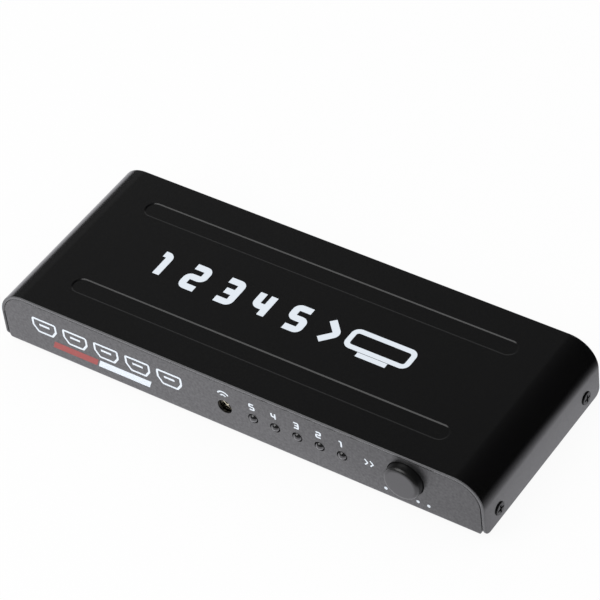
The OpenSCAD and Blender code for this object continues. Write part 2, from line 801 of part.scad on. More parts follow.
module ir_leads() {
    start_y = ir_front + ir_shield_l + seat_gap;
    color("#c9c9cc") for (x = ir_lead_xs) {
        block(x, start_y, ir_z - lead_t / 2, lead_t, ir_lead_y - start_y, lead_t);
        block(x, ir_lead_y - lead_t / 2, lead_z, lead_t, lead_t, ir_z - lead_z);
    }
}

// Slit that leaves a spring finger joined to the shell at its inner end
module finger_slits(x) {
    y = mouth_y - finger_start - finger_l;
    translate([x, 0, board_top + shell_h - shell_t]) along_z(shell_t) difference() {
        translate([-finger_w / 2 - finger_slit, y]) square([finger_w + 2 * finger_slit, finger_l]);
        translate([-finger_w / 2, y - over]) square([finger_w, finger_l - finger_slit + over]);
    }
}

module socket_shell(x) {
    leg_top = board_top + shell_h - shell_side_h / 2;
    color("#cfd0d2") {
        difference() {
            translate([x, 0, board_top]) along_y(block_y, shell_l) difference() {
                shell_outline(0);
                shell_outline(-shell_t);
            }
            for (s = [-1, 1]) finger_slits(x + s * finger_pitch / 2);
        }
        for (s = [-1, 1], y = leg_ys)
            block(x + s * (shell_w - shell_t) / 2, y, lead_z, shell_t, leg_w, leg_top - lead_z);
    }
}

module socket_tongue(x) {
    root_y = block_y + block_l / 2;
    tip_y = mouth_y - tongue_sink;
    color("#1c1c1e") {
        translate([x, 0, board_top]) along_y(block_y, block_l) shell_outline(-shell_t - block_gap);
        block(x, root_y, tongue_z - tongue_t / 2, tongue_w, tip_y - root_y, tongue_t);
    }
}

module socket_contacts(x) {
    start_y = block_y + block_l;
    length = mouth_y - tongue_sink - contact_sink - start_y;
    color("#c9a24a") {
        for (i = [0:contact_n - 1])
            block(x + (i - (contact_n - 1) / 2) * contact_pitch, start_y, tongue_z + tongue_t / 2,
                contact_w, length, contact_t);
        for (i = [0:contact_n - 2])
            block(x + (i - (contact_n - 2) / 2) * contact_pitch, start_y, tongue_z - tongue_t / 2 - contact_t,
                contact_w, length, contact_t);
    }
}

module dc_jack_housing() {
    floor_y = mouth_y - jack_bore_l;
    color("#1e1e20") difference() {
        union() {
            block(jack_x, jack_front, board_top, jack_w, jack_l, jack_h);
            rod_y([jack_x, jack_front, jack_z], jack_collar_d, mouth_y - jack_front);
        }
        rod_y([jack_x, floor_y, jack_z], jack_bore_d, jack_bore_l + over);
        rod_y([jack_x, jack_front - over, jack_z], jack_pin_d + 2 * seat_gap, jack_bore_l + over);
        block(jack_x, floor_y, jack_z - jack_bore_d / 2 - leaf_t, leaf_w + 2 * seat_gap,
            leaf_l + 2 * seat_gap, jack_bore_d / 2);
    }
}

module dc_jack_pin() {
    tip_y = mouth_y - jack_pin_sink;
    r = jack_pin_d / 2;
    color("#cfd0d2") {
        rod_y([jack_x, jack_front, jack_z], jack_pin_d, tip_y - jack_front - r);
        translate([jack_x, tip_y - r, jack_z]) sphere(r);
    }
}

module dc_jack_leaf() {
    floor_y = mouth_y - jack_bore_l;
    color("#cfd0d2") block(jack_x, floor_y + seat_gap, jack_z - jack_bore_d / 2 - leaf_t + seat_gap,
        leaf_w, leaf_l, leaf_t);
}

// Row of flat chip leads along X on both long sides of a body w deep
module lead_rows(n, pitch, w) {
    for (i = [0:n - 1], s = [-1, 1])
        translate([(i - (n - 1) / 2) * pitch - pin_w / 2, s * (w + pin_out) / 2 - (pin_out + pin_t) / 2, 0])
            cube([pin_w, pin_out + pin_t, pin_t]);
}

// Chip body that stands on its leads
module chip_body(l, w) {
    translate([-l / 2, -w / 2, pin_t / 2]) cube([l, w, chip_h - pin_t / 2]);
}

module selector_chip() {
    color("#232326") translate([chip_at[0], chip_at[1], board_top]) {
        chip_body(chip_side, chip_side);
        for (a = [0, 90]) rotate([0, 0, a]) lead_rows(chip_n, chip_pitch, chip_side);
    }
}

module controller_chip() {
    color("#232326") translate([mcu_at[0], mcu_at[1], board_top]) {
        chip_body(mcu_l, mcu_w);
        lead_rows(mcu_n, mcu_pitch, mcu_w);
    }
}

module regulator() {
    color("#232326") translate([reg_at[0], reg_at[1], board_top]) {
        chip_body(reg_l, reg_w);
        translate([-reg_tab_w / 2, reg_w / 2 - pin_t, 0]) cube([reg_tab_w, pin_out + pin_t, pin_t]);
        for (i = [-1:1]) translate([i * reg_pitch - reg_pin_w / 2, -reg_w / 2 - pin_out, 0])
            cube([reg_pin_w, pin_out + pin_t, pin_t]);
    }
}

// Round-ended outline
module stadium(l, w) {
    square([l - w, w], center = true);
    for (s = [-1, 1]) translate([s * (l - w) / 2, 0]) circle(d = w);
}

module crystal() {
    color("#c9c9cc") translate([crystal_at[0], crystal_at[1], board_top]) {
        linear_extrude(crystal_foot_h) stadium(crystal_l + crystal_foot_h, crystal_w + crystal_foot_h);
        linear_extrude(crystal_h) stadium(crystal_l, crystal_w);
    }
}

module inductor() {
    cut = base_cut;
    s = coil_side / 2;
    color("#3a3a3d") translate([coil_at[0], coil_at[1], board_top]) linear_extrude(coil_h)
        polygon([[-s, cut - s], [cut - s, -s], [s - cut, -s], [s, cut - s],
                 [s, s - cut], [s - cut, s], [cut - s, s], [-s, s - cut]]);
}

module filter_capacitor(at) {
    cut = base_cut;
    s = can_d / 2;
    color("#9fa3a8") translate([at[0], at[1], board_top]) {
        linear_extrude(can_base_h)
            polygon([[-s, cut - s], [cut - s, -s], [s, -s], [s, s], [cut - s, s], [-s, s - cut]]);
        cylinder(d = can_d, h = can_h);
    }
}

module chip_resistors() {
    color("#4a4a4e") for (x = socket_xs, i = [0:resistor_n - 1])
        block(x + (i - (resistor_n - 1) / 2) * resistor_pitch, resistor_y - resistor_l, board_top,
            resistor_w, resistor_l, resistor_h);
}

top_cover();
chassis();
foot(-1, -1);  // foot_front_left
foot(1, -1);  // foot_front_right
foot(-1, 1);  // foot_rear_left
foot(1, 1);  // foot_rear_right
cover_screws();
board_standoffs();
board_screws();
circuit_board();
button_cap();
switch_housing();
switch_bracket();
switch_plunger();
switch_dome();
switch_pins();
for (i = [0:light_n - 1])
    status_light(light_xs[i]);
light_leads();
ir_receiver();
ir_shield();
ir_leads();
for (i = [0:input_n]) {
    socket_shell(socket_xs[i]);
    socket_tongue(socket_xs[i]);
    socket_contacts(socket_xs[i]);
}
dc_jack_housing();
dc_jack_pin();
dc_jack_leaf();
selector_chip();
controller_chip();
regulator();
crystal();
inductor();
filter_capacitor(can_ats[0]);  // filter_capacitor_1
filter_capacitor(can_ats[1]);  // filter_capacitor_2
chip_resistors();
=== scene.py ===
"""Dresses a five-way video selector box: rolled edges, finishes, printed marks, studio and camera.

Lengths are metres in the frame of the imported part. X runs along the front from left to right,
Y from the front to the rear, and Z up from the surface that the feet stand on.
"""

from __future__ import annotations

import logging
import math
from dataclasses import dataclass, field
from enum import Enum
from typing import Any

import bmesh
import bpy
import numpy as np
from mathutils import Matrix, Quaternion, Vector


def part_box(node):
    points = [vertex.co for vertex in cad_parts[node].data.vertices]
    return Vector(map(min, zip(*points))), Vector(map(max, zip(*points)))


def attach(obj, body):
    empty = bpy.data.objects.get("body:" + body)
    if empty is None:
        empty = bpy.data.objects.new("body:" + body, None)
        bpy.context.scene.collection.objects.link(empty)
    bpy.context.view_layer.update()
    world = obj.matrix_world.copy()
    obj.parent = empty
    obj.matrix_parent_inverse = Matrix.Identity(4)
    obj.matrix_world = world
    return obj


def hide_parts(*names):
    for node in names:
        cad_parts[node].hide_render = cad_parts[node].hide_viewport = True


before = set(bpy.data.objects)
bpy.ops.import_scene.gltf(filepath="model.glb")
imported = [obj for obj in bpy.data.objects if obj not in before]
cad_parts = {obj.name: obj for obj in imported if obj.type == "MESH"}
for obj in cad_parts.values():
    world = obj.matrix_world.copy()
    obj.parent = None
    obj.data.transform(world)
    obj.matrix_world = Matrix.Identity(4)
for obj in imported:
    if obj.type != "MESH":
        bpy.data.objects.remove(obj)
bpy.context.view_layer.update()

Color = tuple[float, float, float]
Axis = tuple[float, float, float]
Place = tuple[float, float, float]

MM = 0.001
CASE_BODY = "case"
INPUTS = 5
BLACK: Color = (0.0, 0.0, 0.0)
WHITE: Color = (1.0, 1.0, 1.0)
TO_LEFT: Axis = (-1.0, 0.0, 0.0)
TO_RIGHT: Axis = (1.0, 0.0, 0.0)
TO_FRONT: Axis = (0.0, -1.0, 0.0)
TO_REAR: Axis = (0.0, 1.0, 0.0)
UPWARD: Axis = (0.0, 0.0, 1.0)
NOISE_MEAN = 0.5
# Colour sockets of a Mix node, by index because their names repeat.
MIX_FACTOR, MIX_A, MIX_B = 0, 6, 7
MIX_COLOR = 2
log = logging.getLogger("selector_box")


class Wire:
    """Output socket of a shader node that takes part in arithmetic: each operator adds a Math node."""

    def __init__(self, graph: Graph, socket: bpy.types.NodeSocket) -> None:
        """Keeps the graph that new nodes go into and the socket that the value comes from."""
        self.graph = graph
        self.socket = socket

    def __add__(self, other: Wire | float) -> Wire:
        """Sum."""
        return self.graph.math("ADD", self, other)

    def __radd__(self, other: float) -> Wire:
        """Sum with a number on the left."""
        return self.graph.math("ADD", other, self)

    def __sub__(self, other: Wire | float) -> Wire:
        """Difference."""
        return self.graph.math("SUBTRACT", self, other)

    def __rsub__(self, other: float) -> Wire:
        """Difference with a number on the left."""
        return self.graph.math("SUBTRACT", other, self)

    def __mul__(self, other: Wire | float) -> Wire:
        """Product."""
        return self.graph.math("MULTIPLY", self, other)

    def __rmul__(self, other: float) -> Wire:
        """Product with a number on the left."""
        return self.graph.math("MULTIPLY", other, self)

    def __truediv__(self, other: Wire | float) -> Wire:
        """Quotient."""
        return self.graph.math("DIVIDE", self, other)

    def __rtruediv__(self, other: float) -> Wire:
        """Quotient with a number above."""
        return self.graph.math("DIVIDE", other, self)

    def __gt__(self, other: Wire | float) -> Wire:
        """One where this value is the greater, zero elsewhere."""
        return self.graph.math("GREATER_THAN", self, other)

    def either(self, other: Wire | float) -> Wire:
        """Larger of the two values."""
        return self.graph.math("MAXIMUM", self, other)


class Ray(Enum):
    """Kind of ray that sees a surface, by the name of its socket."""

    EYE = "Is Camera Ray"
    GLOSS = "Is Glossy Ray"
    GLASS = "Is Transmission Ray"


class Graph:
    """Node tree of one material or of the world, emptied and then filled by expressions."""

    def __init__(self, tree: bpy.types.NodeTree) -> None:
        """Takes over a tree and removes what is in it."""
        self.tree = tree
        tree.nodes.clear()

    def add(
        self,
        kind: str,
        settings: dict[str, Any] | None = None,
        inputs: dict[str | int, Any] | None = None,
    ) -> bpy.types.Node:
        """Adds a node, sets it up and fills its sockets.

        Args:
            kind: Name of the node's type.
            settings: Attributes of the node; "stops" are the (place, colour) stops of a ramp.
            inputs: Values or wires by the name or index of the socket.

        Returns:
            The node.
        """
        made = self.tree.nodes.new(kind)
        for name, value in (settings or {}).items():
            if name == "stops":
                self._set_stops(made.color_ramp.elements, value)
            else:
                setattr(made, name, value)
        for key, value in (inputs or {}).items():
            if isinstance(value, Wire):
                self.tree.links.new(value.socket, made.inputs[key])
            else:
                made.inputs[key].default_value = value
        return made

    def node(
        self,
        kind: str,
        settings: dict[str, Any] | None = None,
        inputs: dict[str | int, Any] | None = None,
        output: str | int = 0,
    ) -> Wire:
        """Adds a node as above and hands back the wire of the output with that name or index."""
        return Wire(self, self.add(kind, settings, inputs).outputs[output])

    @staticmethod
    def _set_stops(elements: Any, stops: list[tuple[float, Color]]) -> None:
        """Gives a ramp its stops, adding those that it lacks.

        Args:
            elements: Stops of the ramp.
            stops: Place and colour of each stop.
        """
        while len(elements) < len(stops):
            elements.new(1.0)
        for element, (place, color) in zip(elements, stops):
            element.position = place
            element.color = (*color, 1.0)

    def math(self, operation: str, a: Wire | float, b: Wire | float) -> Wire:
        """Adds a Math node on two values."""
        return self.node("ShaderNodeMath", {"operation": operation}, {0: a, 1: b})

    def place(self, scale: Axis = (1.0, 1.0, 1.0)) -> Wire:
        """Object coordinates, stretched by a Mapping node."""
        spot = self.node("ShaderNodeTexCoord", output="Object")
        return self.node("ShaderNodeMapping", {"vector_type": "POINT"}, {"Vector": spot, "Scale": scale})

    def noise(self, place: Wire, grain: float, detail: float = 2.0) -> Wire:
        """Noise whose lumps are about one grain across, from 0 to 1.

        Args:
            place: Coordinates in metres.
            grain: Size of a lump in metres.
            detail: Number of finer layers.

        Returns:
            The noise value.
        """
        inputs = {"Vector": place, "Scale": 1.0 / grain, "Detail": detail}
        return self.node("ShaderNodeTexNoise", inputs=inputs)

    def blend(self, factor: Wire, a: Wire | Color, b: Wire | Color) -> Wire:
        """Mixes two colours.

        Args:
            factor: Share of the second colour.
            a: First colour or wire.
            b: Second colour or wire.

        Returns:
            The colour between them.
        """
        a, b = (end if isinstance(end, Wire) else (*end, 1.0) for end in (a, b))
        inputs = {MIX_FACTOR: factor, MIX_A: a, MIX_B: b}
        return self.node("ShaderNodeMix", {"data_type": "RGBA"}, inputs, output=MIX_COLOR)

    def dot(self, vector: Wire, axis: Axis) -> Wire:
        """Length of a vector along an axis."""
        settings = {"operation": "DOT_PRODUCT"}
        return self.node("ShaderNodeVectorMath", settings, {0: vector, 1: axis}, "Value")

    def ease(self, value: Wire, ends: tuple[float, float], levels: tuple[float, float]) -> Wire:
        """Smooth step between two levels.

        Args:
            value: What the step follows.
            ends: Values at which it starts and ends.
            levels: Levels before and after it.

        Returns:
            The level at the value.
        """
        names = ("Value", "From Min", "From Max", "To Min", "To Max")
        inputs = dict(zip(names, (value, *ends, *levels)))
        return self.node("ShaderNodeMapRange", {"interpolation_type": "SMOOTHSTEP"}, inputs)

    def bump(self, height: Wire, depth: float) -> Wire:
        """Normal bent by a height from 0 to 1 that stands for a depth in metres."""
        return self.node("ShaderNodeBump", inputs={"Height": height, "Distance": depth, "Strength": 1.0})

    def ray(self, kind: Ray) -> Wire:
        """One for rays of a kind, zero for others."""
        return self.node("ShaderNodeLightPath", output=kind.value)

    def principled(self, inputs: dict[str, Any]) -> Wire:
        """Principled surface with the given sockets."""
        return self.node("ShaderNodeBsdfPrincipled", inputs=inputs)

    def mix_shader(self, factor: Wire, a: Wire, b: Wire) -> Wire:
        """Shader between a and b."""
        return self.node("ShaderNodeMixShader", inputs={0: factor, 1: a, 2: b})

    def surface(self, shader: Wire, kind: str = "ShaderNodeOutputMaterial") -> None:
        """Ends the tree in an output node."""
        self.add(kind, inputs={"Surface": shader})


def gray(level: float) -> Color:
    """Neutral colour of a level."""
    return level, level, level


def tint(color: Color, share: float) -> Color:
    """Colour made lighter or darker by a share of itself."""
    return tuple(channel * share for channel in color)


def middle_of(node: str) -> Vector:
    """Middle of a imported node's box."""
    low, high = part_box(node)
    return (low + high) / 2.0


def put(name: str, data: Any) -> bpy.types.Object:
    """Links a mesh, lamp or camera to the scene.

    Args:
        name: Name of the object.
        data: What it holds.

    Returns:
        The object, at the origin.
    """
    made = bpy.data.objects.new(name, data)
    bpy.context.scene.collection.objects.link(made)
    return made


@dataclass(frozen=True)
class Finish:
    """What all finishes share: a name, a colour and a roughness."""

    name: str
    color: Color
    roughness: float

    def shader(self, graph: Graph) -> Wire:
        """Builds the surface shader; each finish has its own."""
        raise NotImplementedError

    def material(self) -> bpy.types.Material:
        """Material of this finish, made at the first call.

        Returns:
            The material, shared by all pieces of the finish.
        """
        made = bpy.data.materials.get(f"finish_{self.name}")
        if made is None:
            made = bpy.data.materials.new(f"finish_{self.name}")
            made.use_nodes = True
            graph = Graph(made.node_tree)
            graph.surface(self.shader(graph))
        return made


@dataclass(frozen=True)
class GrainedCoat(Finish):
    """Satin paint or moulded plastic with a fine grain and a slow drift of shade."""

    grain: float = 0.3 * MM
    depth: float = 0.006 * MM
    patch: float = 18.0 * MM
    spread: float = 0.08
    drift: float = 0.02
    mottle: float = 0.18
    fine_share: float = 0.6
    specular: float = 0.5
    coat: float = 0.0
    coat_roughness: float = 0.3
    speck: float = 0.8 * MM
    speckle: float = 0.0

    def shader(self, graph: Graph) -> Wire:
        """Fine noise drives bump and roughness, fine and slow noise the shade, and specks the coat.

        Args:
            graph: Node tree of the material.

        Returns:
            The surface shader.
        """
        place = graph.place()
        fine = graph.noise(place, self.grain)
        slow = graph.noise(place, self.patch, detail=3.0)
        share = fine * self.fine_share + slow * (1.0 - self.fine_share)
        rough = (fine - NOISE_MEAN) * self.spread + (slow - NOISE_MEAN) * self.drift + self.roughness
        return graph.principled({
            "Base Color": self.shade(graph, place, share),
            "Roughness": rough,
            "Normal": graph.bump(fine, self.depth),
            "Specular IOR Level": self.specular,
            "Coat Weight": self.coat_weight(graph, place),
            "Coat Roughness": self.coat_roughness,
        })

    def shade(self, graph: Graph, place: Wire, share: Wire) -> Wire:
        """Colour that goes from the darker to the lighter mottle with a share from 0 to 1."""
        return graph.blend(share, tint(self.color, 1.0 - self.mottle), tint(self.color, 1.0 + self.mottle))

    def coat_weight(self, graph: Graph, place: Wire) -> Wire | float:
        """Weight of the coat: one number, or a number that noise of the specks' size moves up and down.

        Args:
            graph: Node tree of the material.
            place: Coordinates in metres.

        Returns:
            The number, or the wire of the moving one.
        """
        if self.speckle == 0.0:
            return self.coat
        specks = graph.noise(place, self.speck, detail=1.0)
        return (specks - NOISE_MEAN) * self.speckle + self.coat


@dataclass(frozen=True)
class SheetCoat(GrainedCoat):
    """Paint on bent sheet whose cut edges at the front and rear carry a painted highlight: a lighter colour
    that stands for the light they catch.
    """

    node: str = "top_cover"
    highlight_start: float = 0.35 * MM
    highlight_end: float = 0.15 * MM
    # Lighter colour of the painted highlight on the cut edges.
    painted_edge_highlight: Color = (0.085, 0.085, 0.089)

    def shade(self, graph: Graph, place: Wire, share: Wire) -> Wire:
        """Mottled colour, mixed with the lighter colour of the painted highlight by the distance to the
        nearer cut edge.

        Args:
            graph: Node tree of the material.
            place: Coordinates in metres.
            share: Share of the lighter mottle.

        Returns:
            The colour.
        """
        low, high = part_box(self.node)
        back = graph.dot(place, TO_REAR)
        outside = (back - high.y).either(low.y - back)
        # Painted highlight: the cut edges are coloured lighter to stand for the light that they catch.
        edge = graph.ease(outside, (-self.highlight_start, -self.highlight_end), (0.0, 1.0))
        return graph.blend(edge, super().shade(graph, place, share), self.painted_edge_highlight)


@dataclass(frozen=True)
class TouchedPlastic(GrainedCoat):
    """Moulded plastic of a round button whose face fingers have polished, duller on its rim and side."""

    node: str = "button_cap"
    face: float = 4.3 * MM
    rim: float = 5.3 * MM
    rim_coat: float = 0.3

    def coat_weight(self, graph: Graph, place: Wire) -> Wire:
        """Weight of the coat, which falls from face to rim with the squared distance from the axis.

        Args:
            graph: Node tree of the material.
            place: Coordinates in metres.

        Returns:
            The weight.
        """
        middle = middle_of(self.node)
        right = graph.dot(place, TO_RIGHT) - middle.x
        up = graph.dot(place, UPWARD) - middle.z
        return graph.ease(right * right + up * up, (self.face**2, self.rim**2), (self.coat, self.rim_coat))


@dataclass(frozen=True)
class PlatedMetal(Finish):
    """Plated sheet or wire with drawing marks along one axis and faint tarnish."""

    along: Axis = (1.0, 0.08, 1.0)
    scratch: float = 0.12 * MM
    depth: float = 0.002 * MM
    patch: float = 2.5 * MM
    tarnish: float = 0.75
    spread: float = 0.16
    drift: float = 0.1

    def shader(self, graph: Graph) -> Wire:
        """Noise stretched along the drawing direction drives bump and roughness, slow noise the tarnish.

        Args:
            graph: Node tree of the material.

        Returns:
            The surface shader.
        """
        marks = graph.noise(graph.place(self.along), self.scratch, detail=3.0)
        slow = graph.noise(graph.place(), self.patch, detail=4.0)
        rough = (marks - NOISE_MEAN) * self.spread + (slow - NOISE_MEAN) * self.drift + self.roughness
        return graph.principled({
            "Base Color": graph.blend(slow, tint(self.color, self.tarnish), self.color),
            "Metallic": 1.0,
            "Roughness": rough,
            "Normal": graph.bump(marks, self.depth),
        })


@dataclass(frozen=True)
class SmokedResin(Finish):
    """Cast resin that stays dark while unlit, with a hard gloss and the faint waviness of a casting."""

    wave: float = 1.2 * MM
    depth: float = 0.006 * MM
    mottle: float = 0.3
    drift: float = 0.04
    specular: float = 0.8
    coat_roughness: float = 0.03

    def shader(self, graph: Graph) -> Wire:
        """Slow noise gives a faint drift of shade and gloss and a slightly wavy surface.

        Args:
            graph: Node tree of the material.

        Returns:
            The surface shader.
        """
        slow = graph.noise(graph.place(), self.wave)
        darker, lighter = tint(self.color, 1.0 - self.mottle), tint(self.color, 1.0 + self.mottle)
        return graph.principled({
            "Base Color": graph.blend(slow, darker, lighter),
            "Roughness": slow * self.drift + self.roughness,
            "Normal": graph.bump(slow, self.depth),
            "Specular IOR Level": self.specular,
            "Coat Weight": 1.0,
            "Coat Roughness": self.coat_roughness,
        })


@dataclass(frozen=True)
class SolderMask(Finish):
    """Green mask over copper tracks that show as a lighter green."""

    wave: float = 5.12 * MM
    wander: float = 3.0
    track: float = 0.62
    relief: float = 0.03 * MM
    patch: float = 9.0 * MM
    drift: float = 0.1
    copper: Color = (0.05, 0.24, 0.1)
    copper_share: float = 0.8

    def shader(self, graph: Graph) -> Wire:
        """Bands of a distorted wave stand for the tracks, raised a little above the mask between them.

        Args:
            graph: Node tree of the material.

        Returns:
            The surface shader.
        """
        bands = {
            "Vector": graph.place(), "Scale": 1.0 / self.wave, "Distortion": self.wander, "Detail": 0.0
        }
        wave = graph.node("ShaderNodeTexWave", {"bands_direction": "DIAGONAL"}, bands, output="Fac")
        tracks = wave > self.track
        slow = graph.noise(graph.place(), self.patch)
        share = tracks * self.copper_share + slow * (1.0 - self.copper_share)
        return graph.principled({
            "Base Color": graph.blend(share, self.color, self.copper),
            "Roughness": slow * self.drift + self.roughness,
            "Normal": graph.bump(tracks, self.relief),
        })


COVER_PAINT = SheetCoat(
    "cover_paint", (0.0018, 0.0018, 0.002), 0.2, specular=0.7, coat=0.15, coat_roughness=0.2, spread=0.05,
    speckle=0.3,
)
CHASSIS_PAINT = GrainedCoat(
    "chassis_paint", (0.012, 0.012, 0.0125), 0.33, grain=0.34 * MM, depth=0.05 * MM, mottle=0.5,
    specular=1.0, coat=0.7, coat_roughness=0.33, speckle=1.6,
)
BUTTON_PLASTIC = TouchedPlastic(
    "button_plastic", (0.002, 0.002, 0.0021), 0.34, grain=0.22 * MM, depth=0.02 * MM, specular=1.0,
    coat=1.0, coat_roughness=0.34,
)
BLACK_SCREW = GrainedCoat(
    "black_screw", (0.003, 0.003, 0.0033), 0.42, grain=0.2 * MM, specular=0.5, coat=0.1
)
FOOT_RUBBER = GrainedCoat(
    "foot_rubber", (0.012, 0.012, 0.012), 0.78, grain=0.4 * MM, depth=0.03 * MM, specular=0.3
)
SWITCH_PLASTIC = GrainedCoat("switch_plastic", (0.02, 0.02, 0.021), 0.4, grain=0.2 * MM)
SOCKET_PLASTIC = GrainedCoat("socket_plastic", (0.011, 0.011, 0.012), 0.42, grain=0.2 * MM)
CHIP_EPOXY = GrainedCoat("chip_epoxy", (0.02, 0.02, 0.022), 0.6, grain=0.15 * MM, depth=0.01 * MM)
FERRITE = GrainedCoat("ferrite", (0.05, 0.05, 0.052), 0.65, grain=0.3 * MM, depth=0.03 * MM)
RESISTOR_CERAMIC = GrainedCoat("resistor_ceramic", (0.04, 0.04, 0.045), 0.3, grain=0.4 * MM)
INFRARED_LENS = GrainedCoat("infrared_lens", (0.012, 0.009, 0.014), 0.1, depth=0.001 * MM, coat=0.5)
ZINC_STEEL = PlatedMetal("zinc_steel", (0.66, 0.66, 0.68), 0.3)
SOCKET_STEEL = PlatedMetal("socket_steel", (0.72, 0.71, 0.7), 0.25)
SPRING_BRONZE = PlatedMetal("spring_bronze", (0.6, 0.42, 0.18), 0.3)
SHIELD_TIN = PlatedMetal("shield_tin", (0.86, 0.8, 0.6), 0.2, along=(1.0, 1.0, 0.1))
CONTACT_GOLD = PlatedMetal("contact_gold", (0.83, 0.6, 0.24), 0.22)
CRYSTAL_CAN = PlatedMetal("crystal_can", (0.68, 0.68, 0.69), 0.28, along=(0.08, 1.0, 1.0))
CAPACITOR_CAN = PlatedMetal("capacitor_can", (0.7, 0.71, 0.72), 0.32, along=(1.0, 1.0, 0.08))
CLEAR_LENS = SmokedResin("clear_lens", (0.007, 0.007, 0.0075), 0.08, specular=1.0)
BOARD_GREEN = SolderMask("board_green", (0.012, 0.07, 0.028), 0.32)
WHITE_INK = GrainedCoat("white_ink", (0.8, 0.86, 0.93), 0.5, grain=0.3 * MM, depth=0.004 * MM, mottle=0.025)
RED_INK = GrainedCoat("red_ink", (0.36, 0.075, 0.07), 0.5, grain=0.3 * MM, depth=0.004 * MM, mottle=0.06)


def dress(node: str, finish: Finish) -> None:
    """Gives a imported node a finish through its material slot."""
    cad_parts[node].material_slots[0].material = finish.material()
    log.info("node %s wears %s", node, finish.name)


def grid_faces(rows: int, columns: int, wrap_rows: bool, wrap_columns: bool) -> np.ndarray:
    """Quads of a grid of points that is numbered row by row.

    Args:
        rows: Number of rows.
        columns: Number of points in a row.
        wrap_rows: True if the last row joins the first.
        wrap_columns: True if the last point of a row joins its first.

    Returns:
        Point numbers of the quads, one quad a line.
    """
    row = np.arange(rows if wrap_rows else rows - 1)[:, None]
    column = np.arange(columns if wrap_columns else columns - 1)[None, :]
    next_row = (row + 1) % rows
    next_column = (column + 1) % columns
    corners = (
        row * columns + column,
        row * columns + next_column,
        next_row * columns + next_column,
        next_row * columns + column,
    )
    return np.stack(np.broadcast_arrays(*corners), axis=-1).reshape(-1, 4)


@dataclass
class Surface:
    """Points and faces of a piece while it is put together from several patches."""

    points: list[np.ndarray] = field(default_factory=list)
    faces: list[list[int]] = field(default_factory=list)
    count: int = 0

    def add(self, points: np.ndarray, faces: list[np.ndarray]) -> None:
        """Takes in one patch.

        Args:
            points: Places, one point a line.
            faces: Arrays of point numbers within the patch, one face a line.
        """
        for group in faces:
            self.faces.extend((group + self.count).tolist())
        self.points.append(points)
        self.count += len(points)

    def piece(self, name: str, finish: Finish, smooth: bool) -> bpy.types.Object:
        """Makes the object and hands it to the case.

        Args:
            name: Name of the piece.
            finish: What it is made of.
            smooth: True where the faces stand for a curved surface.

        Returns:
            The object, at the origin, with its place in its mesh.
        """
        mesh = bpy.data.meshes.new(name)
        mesh.from_pydata(np.concatenate(self.points).tolist(), [], self.faces)
        mesh.polygons.foreach_set("use_smooth", np.full(len(mesh.polygons), smooth))
        mesh.materials.append(finish.material())
        made = put(name, mesh)
        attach(made, CASE_BODY)
        log.info("piece %s: %d points, %d faces", name, len(mesh.vertices), len(mesh.polygons))
        return made


def unit(vectors: np.ndarray) -> np.ndarray:
    """Vectors along the last axis brought to length one."""
    return vectors / np.linalg.norm(vectors, axis=-1, keepdims=True)


def on_circle(turn: np.ndarray) -> np.ndarray:
    """Points of the unit circle at the given angles: cosine to the right and sine up."""
    return np.stack([np.cos(turn), np.sin(turn)], axis=-1)


def rounded_path(corners: np.ndarray, radius: float, closed: bool, steps: int = 7) -> np.ndarray:
    """Path whose corners are arcs that touch both legs.

    An arc starts radius / tan(half the inside angle) before its corner, and its centre lies
    radius / sin(half the inside angle) from the corner along the bisector. Its points turn evenly from
    the first radius a to the last one b: (sin((1 - k) t) a + sin(k t) b) / sin(t), with t the whole turn.

    Args:
        corners: Corner points in the plane, one a line.
        radius: Radius of the arcs.
        closed: True if the last corner joins the first.
        steps: Points on an arc.

    Returns:
        Points along the path, one a line.
    """
    turned = corners if closed else corners[1:-1]
    if len(turned) == 0:
        return corners
    before = np.roll(corners, 1, axis=0) if closed else corners[:-2]
    after = np.roll(corners, -1, axis=0) if closed else corners[2:]
    back = unit(before - turned)
    ahead = unit(after - turned)
    half = np.arccos(np.clip((back * ahead).sum(-1), -1.0, 1.0))[:, None] / 2.0
    centre = turned + unit(back + ahead) * radius / np.sin(half)
    first = turned + back * radius / np.tan(half) - centre
    last = turned + ahead * radius / np.tan(half) - centre
    turn = (math.pi - 2.0 * half)[:, None]
    k = np.linspace(0.0, 1.0, steps)[None, :, None]
    arc = (np.sin((1.0 - k) * turn) * first[:, None] + np.sin(k * turn) * last[:, None]) / np.sin(turn)
    points = (centre[:, None] + arc).reshape(-1, 2)
    return points if closed else np.concatenate([corners[:1], points, corners[-1:]])


class Side(Enum):
    """Side of the case that a mark is printed on: its right, up and outward directions."""

    FRONT = (TO_RIGHT, UPWARD, TO_FRONT)
    TOP = (TO_RIGHT, TO_REAR, UPWARD)


